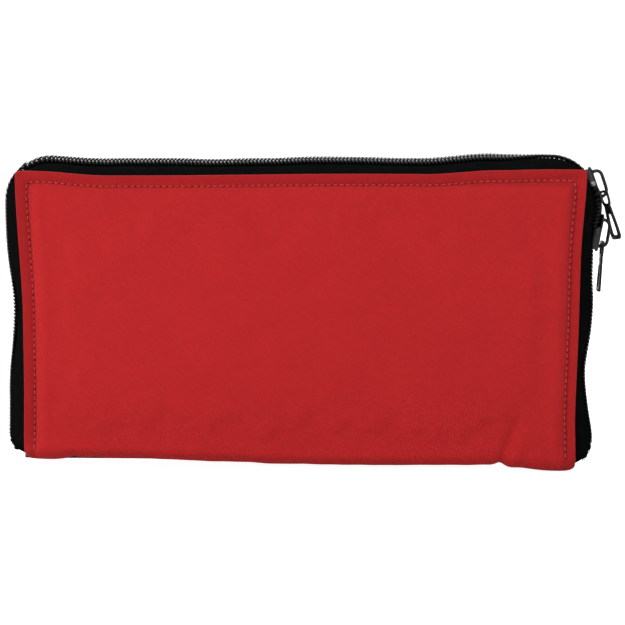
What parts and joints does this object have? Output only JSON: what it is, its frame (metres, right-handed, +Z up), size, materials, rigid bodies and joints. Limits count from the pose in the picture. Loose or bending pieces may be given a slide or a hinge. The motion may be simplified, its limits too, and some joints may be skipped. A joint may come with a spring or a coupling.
{
  "type": "first aid kit",
  "caption": "Padded fabric first aid case that folds out flat from its spine, closed by a two-slider coil zipper, with a net pocket, elastic organiser and supplies inside.",
  "frame": {"origin": "centre of the underside of the spine, where the closed case stands", "axes": "+Z up from the spine to the zipper along the top, -Y towards the front panel, +X towards the end with the sliders"},
  "size_m": [0.2881, 0.038, 0.1474],
  "materials": {
    "red_fabric": "matte woven polyester",
    "seam_thread": "matte polyester thread",
    "foam": "matte closed-cell foam",
    "lining_fabric": "matte woven nylon",
    "zipper_tape": "matte ribbed polyester tape",
    "zipper_coil": "glossy black nylon",
    "slider_metal": "glossy black enamel",
    "net": "open knitted polyester net",
    "elastic": "ribbed elastic webbing",
    "gauze_paper": "matte sterile paper wrap",
    "plaster": "matte plaster fabric",
    "sachet": "satin foil laminate",
    "nitrile": "satin nitrile",
    "foil": "crinkled metallised film",
    "bandage": "matte crepe weave",
    "clip_metal": "satin",
    "sticking_tape": "matte cloth tape",
    "white_plastic": "matte",
    "calico": "matte calico",
    "steel": "satin stainless steel",
    "pin_wire": "polished wire",
    "red_plastic": "satin moulded plastic"
  },
  "bodies": {
    "spine": {"spine_cover": "red_fabric", "spine_padding": "foam", "spine_lining": "lining_fabric"},
    "front_half": {"front_cover": "red_fabric", "front_padding": "foam", "front_lining": "lining_fabric", "front_seam_thread": "seam_thread", "front_zipper_tape": "zipper_tape", "front_zipper_coil": "zipper_coil", "net_pocket": "net", "net_pocket_binding": "elastic", "front_elastic_bands": "elastic", "gauze_packs": "gauze_paper", "plaster_strips": "plaster", "wipe_sachets": "sachet", "glove_pack": "nitrile", "foil_blanket": "foil"},
    "back_half": {"back_cover": "red_fabric", "back_padding": "foam", "back_lining": "lining_fabric", "back_seam_thread": "seam_thread", "back_zipper_tape": "zipper_tape", "back_zipper_coil": "zipper_coil", "elastic_loops": "elastic", "wide_bandage": "bandage", "narrow_bandage": "bandage", "bandage_clips": "clip_metal", "triangular_bandage": "calico", "tweezers": "steel", "safety_pins": "pin_wire", "scissors_fixed_blade": "steel", "scissors_fixed_grip": "red_plastic", "scissors_pivot": "steel"},
    "upper_slider": {"upper_slider": "slider_metal"},
    "upper_pull": {"upper_pull": "slider_metal"},
    "lower_slider": {"lower_slider": "slider_metal"},
    "lower_pull": {"lower_pull": "slider_metal"},
    "scissors_moving_half": {"scissors_moving_blade": "steel", "scissors_moving_grip": "red_plastic"},
    "tape_roll": {"adhesive_tape": "sticking_tape", "tape_core": "white_plastic"}
  },
  "joints": [
    {"name": "front_fold", "type": "hinge", "parent": "spine", "child": "front_half", "pos_m": [0, -0.019, 0], "axis": [1, 0, 0], "range_deg": [0, 90]},
    {"name": "back_fold", "type": "hinge", "parent": "spine", "child": "back_half", "pos_m": [0, 0.019, 0], "axis": [-1, 0, 0], "range_deg": [0, 90]},
    {"name": "lower_slider_travel", "type": "slide", "parent": "back_half", "child": "lower_slider", "axis": [0, 0, -1], "range_m": [0, 0.086]},
    {"name": "upper_slider_travel", "type": "hinge", "parent": "back_half", "child": "upper_slider", "pos_m": [0.117, 0, 0.127], "axis": [0, -1, 0], "range_deg": [0, 70]},
    {"name": "lower_pull_swing", "type": "hinge", "parent": "lower_slider", "child": "lower_pull", "pos_m": [0.1422, 0, 0.10793], "axis": [0, -1, 0], "range_deg": [0, 75]},
    {"name": "upper_pull_swing", "type": "hinge", "parent": "upper_slider", "child": "upper_pull", "pos_m": [0.14182, 0, 0.13162], "axis": [0.4465, -0.883, 0.1451], "range_deg": [0, 90]},
    {"name": "scissors_opening", "type": "hinge", "parent": "back_half", "child": "scissors_moving_half", "pos_m": [-0.092, 0, 0.066], "axis": [0, 1, 0], "range_deg": [0, 28]},
    {"name": "tape_roll_spin", "type": "hinge", "parent": "back_half", "child": "tape_roll", "pos_m": [0.084, 0, 0.104], "axis": [0, 1, 0], "continuous": true}
  ]
}
